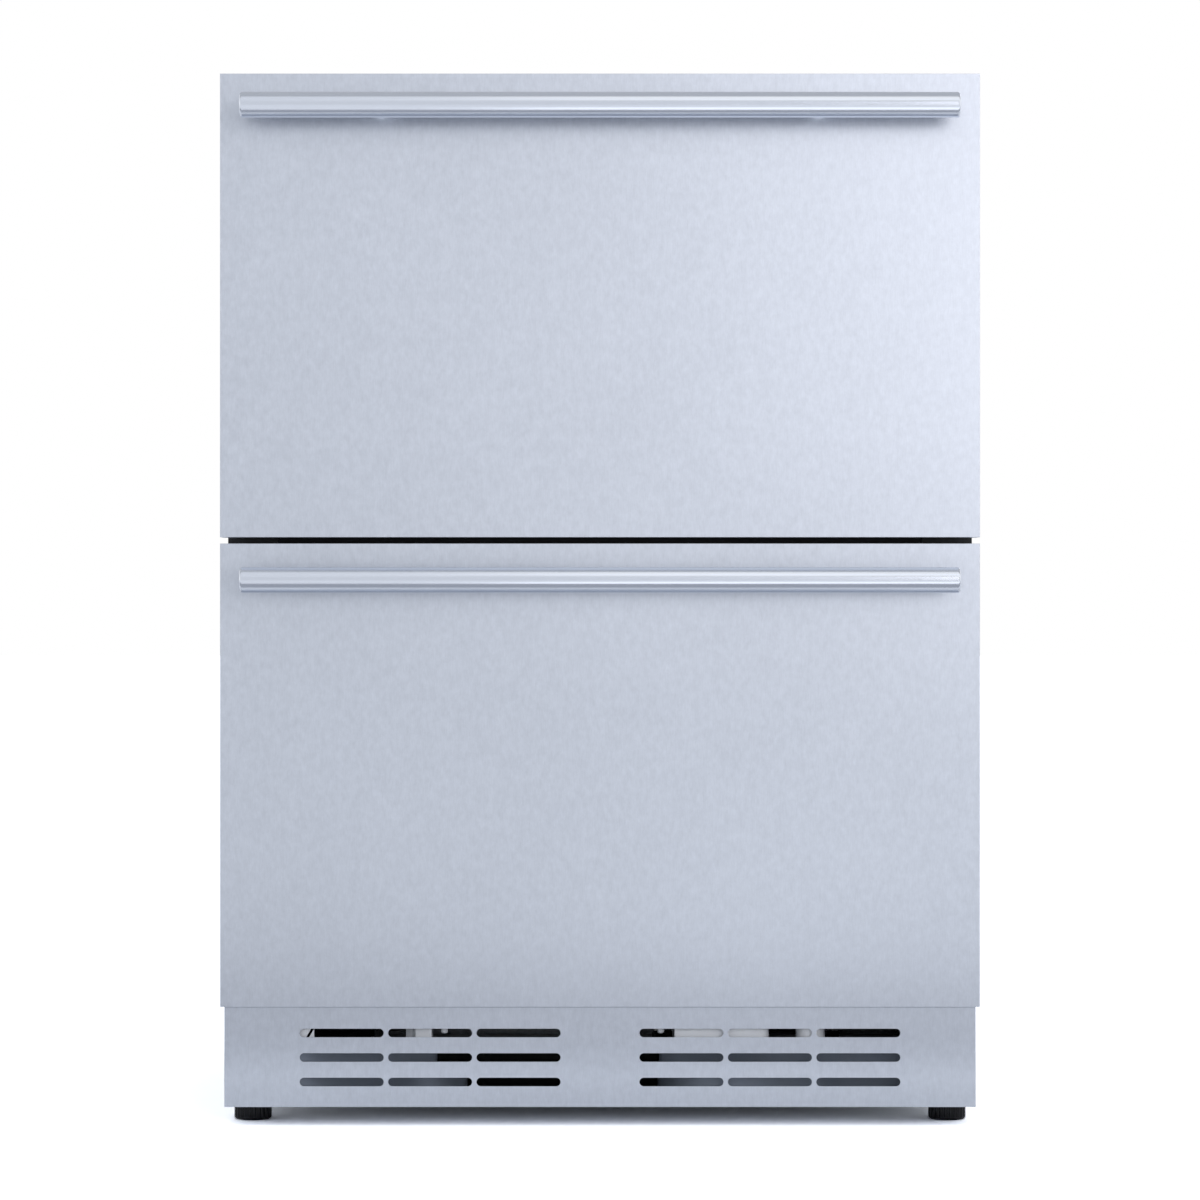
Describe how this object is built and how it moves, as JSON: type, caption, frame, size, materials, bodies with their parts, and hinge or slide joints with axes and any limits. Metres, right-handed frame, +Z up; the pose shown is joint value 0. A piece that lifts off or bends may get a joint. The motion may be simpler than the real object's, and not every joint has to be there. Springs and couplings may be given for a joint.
{
  "type": "undercounter drawer refrigerator",
  "caption": "Undercounter refrigerator with full-extension stainless drawers, round bar handles, a slotted kick plate and levelling feet.",
  "frame": {"origin": "on the floor, at the centre of the footprint of the closed unit with its handles", "axes": "+Z up; the drawers open towards -Y; +X to the right of someone who faces the drawers"},
  "size_m": [0.6, 0.648, 0.832],
  "materials": {
    "stainless": "fine horizontal and vertical grain, satin",
    "handle_steel": "satin, turned",
    "black_paint": "powder coat, low gloss",
    "black_plastic": "moulded, satin",
    "black_rubber": "extruded, matt",
    "foot_plastic": "moulded, ribbed",
    "galvanised": "zinc coated sheet",
    "white_liner": "vacuum formed, satin gloss",
    "foam": null,
    "compressor_black": "semi-gloss paint",
    "coil_paint": "dip coated wire and sheet",
    "motor_steel": "stamped sheet",
    "grey_plastic": "moulded, satin",
    "white_plastic": "moulded, satin",
    "copper": "drawn tube",
    "fin_aluminium": "mill finish",
    "screw_steel": "zinc plated",
    "slide_steel": "bright zinc",
    "cage_steel": "stamped strip with steel balls",
    "lens": "opal diffuser",
    "control_black": "glossy touch face"
  },
  "bodies": {
    "cabinet": {"outer_shell": "black_paint", "back_panel": "galvanised", "step_panel": "galvanised", "insulation": "foam", "liner": "white_liner", "front_frame": "black_paint", "mullion": "black_plastic", "base_pan": "galvanised", "kick_plate": "stainless", "rear_grille": "galvanised", "counter_brackets": "screw_steel", "cabinet_fasteners": "screw_steel", "compressor": "compressor_black", "compressor_grommets": "black_rubber", "condenser": "coil_paint", "fan_shroud": "grey_plastic", "condenser_motor": "motor_steel", "drain_pan": "white_plastic", "drain_trough": "white_plastic", "refrigerant_pipes": "copper", "evaporator": "fin_aluminium", "evaporator_cover": "white_liner", "evaporator_motor": "motor_steel", "electrics_box": "white_plastic", "cord_gland": "black_plastic", "control_housing": "control_black", "lamp_lens": "lens", "outer_rails": "slide_steel"},
    "condenser_fan": {"condenser_fan": "grey_plastic"},
    "evaporator_fan": {"evaporator_fan": "white_plastic"},
    "upper_drawer": {"upper_front_skin": "stainless", "upper_front_foam": "foam", "upper_inner_panel": "white_liner", "upper_gasket": "black_rubber", "upper_handle_bar": "handle_steel", "upper_handle_posts": "handle_steel", "upper_drawer_screws": "screw_steel", "upper_drawer_arms": "galvanised", "upper_inner_rails": "slide_steel", "upper_bin": "stainless"},
    "upper_middle_rails": {"upper_middle_rails": "slide_steel"},
    "upper_outer_cages": {"upper_outer_cages": "cage_steel"},
    "upper_inner_cages": {"upper_inner_cages": "cage_steel"},
    "lower_drawer": {"lower_front_skin": "stainless", "lower_front_foam": "foam", "lower_inner_panel": "white_liner", "lower_gasket": "black_rubber", "lower_handle_bar": "handle_steel", "lower_handle_posts": "handle_steel", "lower_drawer_screws": "screw_steel", "lower_drawer_arms": "galvanised", "lower_inner_rails": "slide_steel", "lower_bin": "stainless"},
    "lower_middle_rails": {"lower_middle_rails": "slide_steel"},
    "lower_outer_cages": {"lower_outer_cages": "cage_steel"},
    "lower_inner_cages": {"lower_inner_cages": "cage_steel"},
    "foot_front_left": {"foot_front_left": "foot_plastic"},
    "foot_front_right": {"foot_front_right": "foot_plastic"},
    "foot_rear_left": {"foot_rear_left": "foot_plastic"},
    "foot_rear_right": {"foot_rear_right": "foot_plastic"}
  },
  "joints": [
    {"name": "upper_drawer_slide", "type": "slide", "parent": "cabinet", "child": "upper_drawer", "axis": [0, -1, 0], "range_m": [0, 0.4]},
    {"name": "upper_outer_cages_slide", "type": "slide", "parent": "cabinet", "child": "upper_outer_cages", "axis": [0, -1, 0], "range_m": [0, 0.1]},
    {"name": "upper_middle_rails_slide", "type": "slide", "parent": "cabinet", "child": "upper_middle_rails", "axis": [0, -1, 0], "range_m": [0, 0.2]},
    {"name": "upper_inner_cages_slide", "type": "slide", "parent": "cabinet", "child": "upper_inner_cages", "axis": [0, -1, 0], "range_m": [0, 0.3]},
    {"name": "lower_drawer_slide", "type": "slide", "parent": "cabinet", "child": "lower_drawer", "axis": [0, -1, 0], "range_m": [0, 0.3]},
    {"name": "lower_outer_cages_slide", "type": "slide", "parent": "cabinet", "child": "lower_outer_cages", "axis": [0, -1, 0], "range_m": [0, 0.075]},
    {"name": "lower_middle_rails_slide", "type": "slide", "parent": "cabinet", "child": "lower_middle_rails", "axis": [0, -1, 0], "range_m": [0, 0.15]},
    {"name": "lower_inner_cages_slide", "type": "slide", "parent": "cabinet", "child": "lower_inner_cages", "axis": [0, -1, 0], "range_m": [0, 0.225]},
    {"name": "foot_front_left_screw", "type": "slide", "parent": "cabinet", "child": "foot_front_left", "axis": [0, 0, -1], "range_m": [0, 0.025]},
    {"name": "foot_front_right_screw", "type": "slide", "parent": "cabinet", "child": "foot_front_right", "axis": [0, 0, -1], "range_m": [0, 0.025]},
    {"name": "foot_rear_left_screw", "type": "slide", "parent": "cabinet", "child": "foot_rear_left", "axis": [0, 0, -1], "range_m": [0, 0.025]},
    {"name": "foot_rear_right_screw", "type": "slide", "parent": "cabinet", "child": "foot_rear_right", "axis": [0, 0, -1], "range_m": [0, 0.025]},
    {"name": "condenser_fan_spin", "type": "hinge", "parent": "cabinet", "child": "condenser_fan", "pos_m": [-0.184, 0.226, 0.1152], "axis": [1, 0, 0], "continuous": true},
    {"name": "evaporator_fan_spin", "type": "hinge", "parent": "cabinet", "child": "evaporator_fan", "pos_m": [0, 0.254, 0.684], "axis": [0, 1, 0], "continuous": true}
  ],
  "couplings": [
    {"joint": "upper_outer_cages_slide", "follows": "upper_drawer_slide", "ratio": 0.25},
    {"joint": "upper_middle_rails_slide", "follows": "upper_drawer_slide", "ratio": 0.5},
    {"joint": "upper_inner_cages_slide", "follows": "upper_drawer_slide", "ratio": 0.75},
    {"joint": "lower_outer_cages_slide", "follows": "lower_drawer_slide", "ratio": 0.25},
    {"joint": "lower_middle_rails_slide", "follows": "lower_drawer_slide", "ratio": 0.5},
    {"joint": "lower_inner_cages_slide", "follows": "lower_drawer_slide", "ratio": 0.75}
  ]
}
